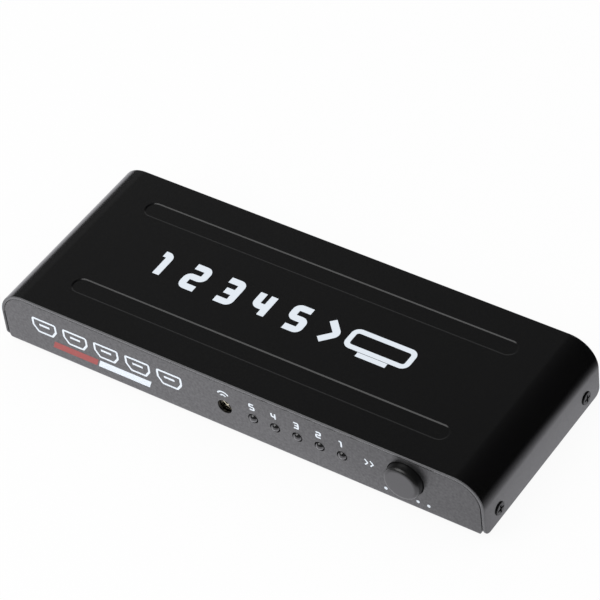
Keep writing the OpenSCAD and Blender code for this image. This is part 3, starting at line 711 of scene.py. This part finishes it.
@dataclass
class PrintBed:
    """Plane that ink is laid on, with the surface that collects the strokes of one mark."""

    side: Side
    origin: np.ndarray
    film: float = 0.02 * MM
    surface: Surface = field(default_factory=Surface)

    def lay(self, flat: np.ndarray, height: np.ndarray) -> np.ndarray:
        """Places in the frame of points of the plane.

        Args:
            flat: Right and up of each point, along the last axis.
            height: Share of the film's thickness at each point.

        Returns:
            Places, with the same leading axes.
        """
        right, up, out = (np.array(axis) for axis in self.side.value)
        lift = height[..., None] * self.film * out
        return self.origin + flat[..., :1] * right + flat[..., 1:] * up + lift

    def stroke(
        self, corners: np.ndarray, width: float, radius: float, closed: bool = False, level: float = 1.0
    ) -> None:
        """Prints a line: a flat band carried along a rounded path.

        The band's edges lie half a width to the left and right of the path, square to its direction,
        and its four lines of points are the lower and upper edge on either side.

        Args:
            corners: Corners of the path in the plane.
            width: Width of the line.
            radius: Radius of the path's corners.
            closed: True for a ring.
            level: Share of the film's thickness, lower for a stroke that another one crosses.
        """
        path = rounded_path(corners, radius, closed)
        if closed:
            ahead = unit(np.roll(path, -1, axis=0) - np.roll(path, 1, axis=0))
        else:
            ahead = unit(np.gradient(path, axis=0))
        aside = np.stack([-ahead[:, 1], ahead[:, 0]], axis=-1) * width / 2.0
        band = np.stack([path + aside, path + aside, path - aside, path - aside], axis=1)
        height = np.broadcast_to(np.array([0.0, level, level, 0.0]), band.shape[:2])
        lines = band.shape[1]
        faces = [grid_faces(len(path), lines, closed, True)[:, ::-1]]
        if not closed:
            start = np.arange(lines)
            end = start + lines * (len(path) - 1)
            faces.append(np.stack([start[::-1], end]))
        self.surface.add(self.lay(band, height).reshape(-1, 3), faces)

    def plate(self, outline: np.ndarray) -> None:
        """Prints a filled shape: a prism as thick as the film on a convex outline that turns to the left.

        Args:
            outline: Points round the shape.
        """
        n = len(outline)
        flat = np.concatenate([outline, outline])
        height = np.repeat([0.0, 1.0], n)
        faces = [np.arange(n)[None, ::-1], np.arange(n, 2 * n)[None, :], grid_faces(2, n, False, True)]
        self.surface.add(self.lay(flat, height), faces)

    def piece(self, name: str, finish: Finish) -> bpy.types.Object:
        """Makes the printed mark from all its strokes and plates."""
        return self.surface.piece(name, finish, smooth=False)


CORNER_SHARE = 0.55
LAYER_DROP = 0.3
BOX_MIDDLE = (0.5, 0.5)
PORT_OUTLINE = ((-1.0, 1.0), (-1.0, -0.1), (-0.62, -1.0), (0.62, -1.0), (1.0, -0.1), (1.0, 1.0))
PORT_TONGUE = ((-0.45, 0.2), (0.45, 0.2))
# Strokes of the numerals in a box from 0 to 1.
DIGITS: dict[int, list[list[tuple[float, float]]]] = {
    1: [[(0.1, 1.0), (0.6, 1.0), (0.6, 0.0)]],
    2: [[(0.0, 1.0), (1.0, 1.0), (1.0, 0.5), (0.0, 0.5), (0.0, 0.0), (1.0, 0.0)]],
    3: [[(0.0, 1.0), (1.0, 1.0), (1.0, 0.0), (0.0, 0.0)], [(0.2, 0.5), (1.0, 0.5)]],
    4: [[(0.0, 1.0), (0.0, 0.4), (1.0, 0.4)], [(0.8, 1.0), (0.8, 0.0)]],
    5: [[(1.0, 1.0), (0.0, 1.0), (0.0, 0.5), (1.0, 0.5), (1.0, 0.0), (0.0, 0.0)]],
}


@dataclass
class Digit:
    """Plain numeral of straight strokes with round corners, in the middle of its own box."""

    number: int
    middle: tuple[float, float]
    width: float
    height: float
    weight: float

    def print_on(self, bed: PrintBed) -> None:
        """Prints the strokes, whose outer edges fill the box; each lies lower than the one before.

        Args:
            bed: What they are printed on.
        """
        inner = np.array([self.width, self.height]) - self.weight
        for layer, corners in enumerate(DIGITS[self.number]):
            path = (np.array(corners) - BOX_MIDDLE) * inner + self.middle
            bed.stroke(path, self.weight, CORNER_SHARE * self.weight, level=1.0 - LAYER_DROP * layer)


@dataclass(frozen=True)
class SheetSkin:
    """Sheet-metal node that is shown with rolled edges; those near the ends of its folds may stay sharp."""

    node: str
    name: str
    slot: str
    finish: Finish
    edge: float
    sharp_reach: float = 0.0
    sharp_height: float = 0.0


@dataclass
class Case:
    """Bent cover, folded chassis, screws and feet."""

    weld: float = 1e-6
    flat_angle: float = math.radians(0.2)
    slope_angle: float = math.radians(20.0)
    edge_angle: float = math.radians(60.0)
    slope_share: float = 0.4
    edge_steps: int = 3
    face_weight: int = 100
    skins: tuple[SheetSkin, ...] = (
        SheetSkin("top_cover", "cover_skin", "cover_paint", COVER_PAINT, 0.3 * MM),
        SheetSkin("chassis", "chassis_skin", "chassis_paint", CHASSIS_PAINT, 0.07 * MM, 4.0 * MM, 2.0 * MM),
    )

    def build(self) -> None:
        """Rolls the edges of the sheet metal and dresses the fasteners and feet."""
        for skin in self.skins:
            made = self.rolled_copy(skin)
            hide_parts(skin.node)
        dress("cover_screws", BLACK_SCREW)
        for foot in ("front_left", "front_right", "rear_left", "rear_right"):
            dress(f"foot_{foot}", FOOT_RUBBER)

    def rolled_copy(self, skin: SheetSkin) -> bpy.types.Object:
        """Copies a node with its points merged and its sharp edges rounded as paint rounds them.

        Points that share a place to the weld distance become one. Triangles in one plane are joined,
        and a live bevel then rounds every edge that was weighed for it.

        Args:
            skin: What is copied, and how the copy is called and painted.

        Returns:
            The new piece.
        """
        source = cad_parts[skin.node].data
        places = np.empty(3 * len(source.vertices), np.float32)
        source.vertices.foreach_get("co", places)
        corners = np.empty(len(source.loops), np.int32)
        source.loops.foreach_get("vertex_index", corners)
        places = places.reshape(-1, 3)
        cells = np.round(places / self.weld).astype(np.int64)
        _, kept, merged = np.unique(cells, axis=0, return_index=True, return_inverse=True)
        surface = Surface()
        surface.add(places[kept], [merged.reshape(-1)[corners].reshape(-1, 3)])
        made = surface.piece(skin.name, skin.finish, smooth=True)
        shape = bmesh.new()
        shape.from_mesh(made.data)
        bmesh.ops.dissolve_limit(
            shape, angle_limit=self.flat_angle, verts=shape.verts[:], edges=shape.edges[:]
        )
        shape.to_mesh(made.data)
        shape.free()
        weights = self.edge_weights(made.data, skin)
        weight = made.data.attributes.new("bevel_weight_edge", "FLOAT", "EDGE")
        weight.data.foreach_set("value", weights)
        bevel = made.modifiers.new("rolled_edge", "BEVEL")
        bevel.width = skin.edge
        bevel.segments = self.edge_steps
        bevel.limit_method = "WEIGHT"
        bevel.use_clamp_overlap = False
        normals = made.modifiers.new("even_normals", "WEIGHTED_NORMAL")
        normals.weight = self.face_weight
        normals.keep_sharp = True
        return made

    def edge_weights(self, mesh: bpy.types.Mesh, skin: SheetSkin) -> np.ndarray:
        """Says how far each edge is rounded.

        An edge turns by the angle between its two faces. It is rounded in full over the edge angle, and by
        a share, as at the foot of a slope, over the slope angle. One on the hollow side of the sheet stays
        sharp: its faces look into the ellipse about the case that runs through it. So does one with an end
        in the corners of the underside, where the fold ends and edges crowd.

        Args:
            mesh: The merged copy of a node.
            skin: The node's settings.

        Returns:
            For each edge, its share of the full rounding.
        """
        sizes = np.empty(len(mesh.polygons), np.int32)
        mesh.polygons.foreach_get("loop_total", sizes)
        normals = np.empty(3 * len(mesh.polygons), np.float32)
        mesh.polygons.foreach_get("normal", normals)
        edges = np.empty(len(mesh.loops), np.int32)
        mesh.loops.foreach_get("edge_index", edges)
        order = np.argsort(edges, kind="stable")
        faces = np.repeat(np.arange(len(sizes)), sizes)[order]
        count = np.arange(len(mesh.edges))
        first = np.searchsorted(edges[order], count, "left")
        last = np.searchsorted(edges[order], count, "right") - 1
        normals = normals.reshape(-1, 3)
        sides = normals[faces[first]], normals[faces[last]]
        cosine = (sides[0] * sides[1]).sum(-1)
        places = np.empty(3 * len(mesh.vertices), np.float32)
        mesh.vertices.foreach_get("co", places)
        ends = np.empty(2 * len(mesh.edges), np.int32)
        mesh.edges.foreach_get("vertices", ends)
        x, _, z = places.reshape(-1, 3)[ends].T
        crowded = (np.abs(x) > np.abs(x).max() - skin.sharp_reach) & (z < z.min() + skin.sharp_height)
        share = np.where(cosine < math.cos(self.edge_angle), 1.0, self.slope_share)
        middle, half_x, half_z = (z.min() + z.max()) / 2.0, np.abs(x).max(), np.ptp(z) / 2.0
        facing = sides[0] + sides[1]
        outward = facing[:, 0] * x[::2] / half_x**2 + facing[:, 2] * (z[::2] - middle) / half_z**2
        turned = (cosine < math.cos(self.slope_angle)) & (outward > 0.0) & ~crowded.reshape(-1, 2).any(-1)
        return (share * turned).astype(np.float32)


@dataclass
class ControlPanel:
    """Push button with its switch, the indicator lights and the infrared receiver."""

    lights: int = INPUTS

    def build(self) -> None:
        """Dresses the moving button, the switch behind it, the lights and the receiver."""
        dress("button_cap", BUTTON_PLASTIC)
        dress("switch_housing", SWITCH_PLASTIC)
        dress("switch_plunger", SWITCH_PLASTIC)
        dress("switch_dome", SPRING_BRONZE)
        for node in ("switch_bracket", "switch_pins", "light_leads", "ir_leads"):
            dress(node, ZINC_STEEL)
        for number in range(1, self.lights + 1):
            dress(f"status_light_{number}", CLEAR_LENS)
        dress("ir_receiver", INFRARED_LENS)
        dress("ir_shield", SHIELD_TIN)


@dataclass
class RearRow:
    """Video sockets and the power jack."""

    sockets: tuple[str, ...] = (*(f"input_{number}" for number in range(1, INPUTS + 1)), "output")

    def build(self) -> None:
        """Dresses each socket's shell, tongue and contacts, and the jack."""
        for socket in self.sockets:
            dress(f"{socket}_socket_shell", SOCKET_STEEL)
            dress(f"{socket}_socket_tongue", SOCKET_PLASTIC)
            dress(f"{socket}_socket_contacts", CONTACT_GOLD)
        dress("dc_jack_housing", SOCKET_PLASTIC)
        dress("dc_jack_pin", SOCKET_STEEL)
        dress("dc_jack_leaf", SOCKET_STEEL)


@dataclass
class Board:
    """Circuit board with its fasteners and the parts that lie on it."""

    def build(self) -> None:
        """Dresses the board and what it carries."""
        dress("circuit_board", BOARD_GREEN)
        for node in ("board_standoffs", "board_screws"):
            dress(node, ZINC_STEEL)
        for node in ("selector_chip", "controller_chip", "regulator"):
            dress(node, CHIP_EPOXY)
        dress("crystal", CRYSTAL_CAN)
        dress("inductor", FERRITE)
        for number in (1, 2):
            dress(f"filter_capacitor_{number}", CAPACITOR_CAN)
        dress("chip_resistors", RESISTOR_CERAMIC)


@dataclass
class TopPrint:
    """Five numerals, a pointer and a screen outline on the cover: one of five goes to the screen."""

    left: float = -49.0 * MM
    digit_width: float = 7.0 * MM
    digit_height: float = 10.6 * MM
    digit_pitch: float = 12.0 * MM
    weight: float = 2.3 * MM
    pointer_gap: float = 6.0 * MM
    pointer_reach: float = 4.0 * MM
    screen_gap: float = 8.0 * MM
    screen_width: float = 20.0 * MM
    screen_low: float = 0.55
    foot_half: float = 0.25
    line: float = 1.7 * MM

    def build(self) -> None:
        """Prints the marks along the middle of the cover."""
        low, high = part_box("top_cover")
        middle = (low.y + high.y) / 2.0
        bed = PrintBed(Side.TOP, np.array([0.0, middle, high.z]))
        for place in range(INPUTS):
            x = self.left + self.digit_width / 2.0 + place * self.digit_pitch
            Digit(place + 1, (x, 0.0), self.digit_width, self.digit_height, self.weight).print_on(bed)
        x = self.left + (INPUTS - 1) * self.digit_pitch + self.digit_width + self.pointer_gap
        half = self.digit_height / 2.0 - self.weight / 2.0
        pointer = np.array([[x, half], [x + self.pointer_reach, 0.0], [x, -half]])
        bed.stroke(pointer, self.weight, CORNER_SHARE * self.weight)
        left = x + self.screen_gap
        right = left + self.screen_width
        bottom = -self.screen_low * half
        screen = np.array([[left, half], [left, bottom], [right, bottom], [right, half]])
        bed.stroke(screen, self.line, self.line, closed=True)
        foot = (left + right) / 2.0 + np.array([-self.foot_half, self.foot_half]) * self.screen_width
        bed.stroke(np.stack([foot, np.full(2, -half)], axis=-1), self.line, self.line)
        bed.piece("top_print", WHITE_INK)


@dataclass
class FrontPrint:
    """Marks on the front panel: port outlines over a two-colour stripe, numerals and small pointers."""

    port_first: float = -67.0 * MM
    port_last: float = -22.0 * MM
    port_up: float = 10.9 * MM
    port_half: tuple[float, float] = (4.1 * MM, 2.5 * MM)
    port_line: float = 0.7 * MM
    port_corner: float = 0.5 * MM
    tongue_line: float = 0.8 * MM
    red_ends: tuple[float, float] = (-64.0 * MM, -48.0 * MM)
    white_ends: tuple[float, float] = (-47.4 * MM, -29.0 * MM)
    stripe_low: float = 4.0 * MM
    stripe_high: float = 6.7 * MM
    stripe_slant: float = 1.0 * MM
    digit_up: float = 14.0 * MM
    digit_width: float = 2.0 * MM
    digit_height: float = 2.6 * MM
    digit_weight: float = 0.52 * MM
    wave_up: float = 13.2 * MM
    wave_radii: tuple[float, float] = (1.0 * MM, 2.2 * MM)
    wave_ends: tuple[float, float] = (math.radians(35.0), math.radians(145.0))
    wave_points: int = 15
    wave_line: float = 0.55 * MM
    wave_corner: float = 0.1 * MM
    chevron_up: float = 11.0 * MM
    chevron_gaps: tuple[float, float] = (3.4 * MM, 5.2 * MM)
    chevron_reach: float = 1.0 * MM
    chevron_half: float = 1.1 * MM
    chevron_line: float = 0.45 * MM
    chevron_corner: float = 0.25 * MM
    dot_up: float = 3.4 * MM
    dot_reach: float = 7.0 * MM
    dot_radius: float = 0.55 * MM
    dot_points: int = 24

    def build(self) -> None:
        """Prints the white and the red marks."""
        white = self.bed()
        self.ports(white)
        self.stripe(white, *self.white_ends)
        self.numerals(white)
        self.waves(white)
        self.pointers(white)
        self.dots(white)
        white.piece("front_print_white", WHITE_INK)
        red = self.bed()
        self.stripe(red, *self.red_ends)
        red.piece("front_print_red", RED_INK)

    def bed(self) -> PrintBed:
        """Print bed on the face of the front panel, with its up from the underside of the case."""
        low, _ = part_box("chassis")
        return PrintBed(Side.FRONT, np.array([0.0, low.y, low.z]))

    def ports(self, bed: PrintBed) -> None:
        """Socket outlines in a row, one for each input, each with its tongue.

        Args:
            bed: What they are printed on.
        """
        outline = np.array(PORT_OUTLINE) * self.port_half
        tongue = np.array(PORT_TONGUE) * self.port_half
        for x in np.linspace(self.port_first, self.port_last, INPUTS):
            middle = np.array([x, self.port_up])
            bed.stroke(outline + middle, self.port_line, self.port_corner, closed=True)
            bed.stroke(tongue + middle, self.tongue_line, self.port_corner)

    def stripe(self, bed: PrintBed, left: float, right: float) -> None:
        """Flat stripe with slanting ends.

        Args:
            bed: What it is printed on.
            left: Left end of its upper edge.
            right: Right end of its upper edge.
        """
        low, high, slant = self.stripe_low, self.stripe_high, self.stripe_slant
        bed.plate(np.array([[left - slant, low], [right - slant, low], [right, high], [left, high]]))

    def numerals(self, bed: PrintBed) -> None:
        """The number of its input over each light.

        Args:
            bed: What they are printed on.
        """
        for number in range(1, INPUTS + 1):
            middle = (middle_of(f"status_light_{number}").x, self.digit_up)
            Digit(number, middle, self.digit_width, self.digit_height, self.digit_weight).print_on(bed)

    def waves(self, bed: PrintBed) -> None:
        """Two arcs over the receiver, like a beam that comes in.

        Args:
            bed: What they are printed on.
        """
        middle = np.array([middle_of("ir_shield").x, self.wave_up])
        arc = on_circle(np.linspace(*self.wave_ends, self.wave_points))
        for radius in self.wave_radii:
            bed.stroke(arc * radius + middle, self.wave_line, self.wave_corner)

    def pointers(self, bed: PrintBed) -> None:
        """Two chevrons that point at the button.

        Args:
            bed: What they are printed on.
        """
        low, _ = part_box("button_cap")
        reach, half = self.chevron_reach, self.chevron_half
        chevron = np.array([[-reach, half], [0.0, 0.0], [-reach, -half]])
        for gap in self.chevron_gaps:
            tip = np.array([low.x - gap, self.chevron_up])
            bed.stroke(chevron + tip, self.chevron_line, self.chevron_corner)

    def dots(self, bed: PrintBed) -> None:
        """A row of dots under the button, one for each input.

        Args:
            bed: What they are printed on.
        """
        ring = on_circle(np.linspace(0.0, 2.0 * math.pi, self.dot_points, endpoint=False)) * self.dot_radius
        for x in middle_of("button_cap").x + np.linspace(-self.dot_reach, self.dot_reach, INPUTS):
            bed.plate(ring + [x, self.dot_up])


@dataclass(frozen=True)
class Lamp:
    """Square soft lamp that faces the box and shows in gloss or only lights."""

    name: str
    spot: Place
    size: float
    watts: float
    mirrored: bool

    def hang(self) -> None:
        """Makes the lamp at its spot and turns it to the origin."""
        light = bpy.data.lights.new(self.name, "AREA")
        light.size = self.size
        light.energy = self.watts
        made = put(self.name, light)
        made.location = self.spot
        made.visible_glossy = self.mirrored
        made.rotation_euler = (-Vector(self.spot)).to_track_quat("-Z", "Y").to_euler()


@dataclass
class Studio:
    """White sheet that the box stands on, soft light and the camera of the reference view."""

    floor_half: float = 3.0
    floor_lines: int = 9
    floor_white: float = 0.9
    floor_glow: float = 0.93
    cool_white: Color = (0.993, 0.985, 1.035)
    sheet_right: float = 84.5 * MM
    sheet_reach: float = 17.0 * MM
    sheet_rear: float = 23.0 * MM
    sheet_rear_reach: float = 25.0 * MM
    shade_axis: Axis = (0.3, -0.95, 0.0)
    shade_start: float = 38.0 * MM
    shade_end: float = 56.0 * MM
    shade: float = 0.8
    sky_axis: Axis = (-0.7, 0.5, -0.5)
    sky_levels: tuple[tuple[float, float], ...] = (
        (-1.0, 0.004), (-0.35, 0.006), (-0.1, 0.03), (0.14, 0.05), (0.25, 0.112), (0.33, 0.13), (0.6, 0.34)
    )
    sky_left: tuple[float, float] = (0.53, 0.82)
    sky_left_level: float = 0.3
    sky_front: tuple[float, float] = (-0.35, 0.3)
    sky_front_level: float = 0.06
    soft_light: float = 0.8
    lamps: tuple[Lamp, ...] = (
        Lamp("key_lamp", (-0.28, -0.38, 0.65), 0.62, 1.7, mirrored=True),
        Lamp("front_lamp", (-0.36, -1.12, 0.13), 0.22, 2.8, mirrored=False),
    )
    eye: Place = (0.40137, -0.49204, 0.63582)
    aim: Place = (-0.00778, 0.01586, 0.0112)
    roll_axis: Axis = (0.0, 0.0, 1.0)
    roll: float = math.radians(-7.601)
    lens: float = 185.39
    sensor: float = 36.0
    near: float = 0.01

    def build(self) -> None:
        """Sets up floor, world, lamps, camera and the plain view transform."""
        self.build_floor()
        self.build_world()
        for lamp in self.lamps:
            lamp.hang()
        self.build_camera()
        bpy.context.scene.view_settings.view_transform = "Standard"

    def build_floor(self) -> None:
        """Square floor at z = 0, a flat grid."""
        edge = np.linspace(-self.floor_half, self.floor_half, self.floor_lines)
        x, y = np.meshgrid(edge, edge)
        points = np.stack([x, y, np.zeros_like(x)], axis=-1).reshape(-1, 3)
        faces = grid_faces(self.floor_lines, self.floor_lines, False, False)
        mesh = bpy.data.meshes.new("studio_floor")
        mesh.from_pydata(points.tolist(), [], faces.tolist())
        mesh.materials.append(self.floor_material())
        floor = put("studio_floor", mesh)

    def floor_material(self) -> bpy.types.Material:
        """White to the eye, and shaded by what stands on it.

        In gloss and through glass the floor is a white sheet that fades on the right of the box: its
        brightness is 1 / (1 + (d / reach) squared) at a distance d from the box's end, the sooner the
        farther behind, and it falls a little towards the front on the right.

        Returns:
            The material.
        """
        made = bpy.data.materials.new("studio_floor")
        made.use_nodes = True
        graph = Graph(made.node_tree)
        spot = graph.node("ShaderNodeTexCoord", output="Object")
        right = (graph.dot(spot, TO_RIGHT) - self.sheet_right).either(0.0)
        rear = (graph.dot(spot, TO_REAR) - self.sheet_rear).either(0.0)
        away = right / self.sheet_reach * (rear / self.sheet_rear_reach + 1.0)
        front = graph.dot(spot, self.shade_axis)
        shade = graph.ease(front, (self.shade_start, self.shade_end), (1.0, self.shade))
        sheet = shade / (away * away + 1.0)
        mirrored = graph.blend(sheet, BLACK, tint(self.cool_white, self.floor_glow))
        eye = graph.ray(Ray.EYE)
        color = graph.blend(eye, mirrored, WHITE)
        glow = graph.node("ShaderNodeEmission", inputs={"Color": color, "Strength": 1.0})
        matt = graph.node("ShaderNodeBsdfDiffuse", inputs={"Color": (*gray(self.floor_white), 1.0)})
        shown = eye * self.floor_glow + graph.ray(Ray.GLOSS).either(graph.ray(Ray.GLASS))
        graph.surface(graph.mix_shader(shown, matt, glow))
        return made

    def build_world(self) -> None:
        """White to the eye, even and soft as light, and in gloss dark but for the back on the left.

        The shade in gloss follows the cosine between the direction and the sky's axis, falls again far on
        the left, and rises to a faint even level in front. It is a grey, so it goes on as one value.
        """
        world = bpy.data.worlds.new("studio_world")
        world.use_nodes = True
        bpy.context.scene.world = world
        graph = Graph(world.node_tree)
        way = graph.node("ShaderNodeTexCoord", output="Generated")
        lean = graph.dot(way, self.sky_axis)
        stops = [((place + 1.0) / 2.0, gray(level)) for place, level in self.sky_levels]
        shade = graph.node("ShaderNodeValToRGB", {"stops": stops}, {"Fac": (lean + 1.0) / 2.0})
        left = graph.ease(graph.dot(way, TO_LEFT), self.sky_left, (1.0, self.sky_left_level))
        front = graph.ease(graph.dot(way, TO_FRONT), self.sky_front, (0.0, self.sky_front_level))
        sky = shade * left + front
        lit = graph.blend(graph.ray(Ray.GLOSS), gray(self.soft_light), sky)
        shown = graph.blend(graph.ray(Ray.EYE), lit, WHITE)
        back = graph.node("ShaderNodeBackground", inputs={"Color": shown, "Strength": 1.0})
        graph.surface(back, "ShaderNodeOutputWorld")

    def build_camera(self) -> None:
        """Camera at its eye, turned to its aim and rolled about its axis."""
        data = bpy.data.cameras.new("reference_camera")
        data.sensor_width = self.sensor
        data.lens = self.lens
        data.clip_start = self.near
        camera = put("reference_camera", data)
        camera.location = self.eye
        turn = (Vector(self.aim) - Vector(self.eye)).to_track_quat("-Z", "Y")
        camera.rotation_mode = "QUATERNION"
        camera.rotation_quaternion = turn @ Quaternion(self.roll_axis, self.roll)
        bpy.context.scene.camera = camera


def main() -> None:
    """Builds the sub-assemblies in order, then the studio."""
    logging.basicConfig(level=logging.INFO, format="%(message)s")
    for assembly in (Case(), ControlPanel(), RearRow(), Board(), TopPrint(), FrontPrint(), Studio()):
        assembly.build()
        log.info("%s is built", type(assembly).__name__)


if __name__ == "__main__":
    main()
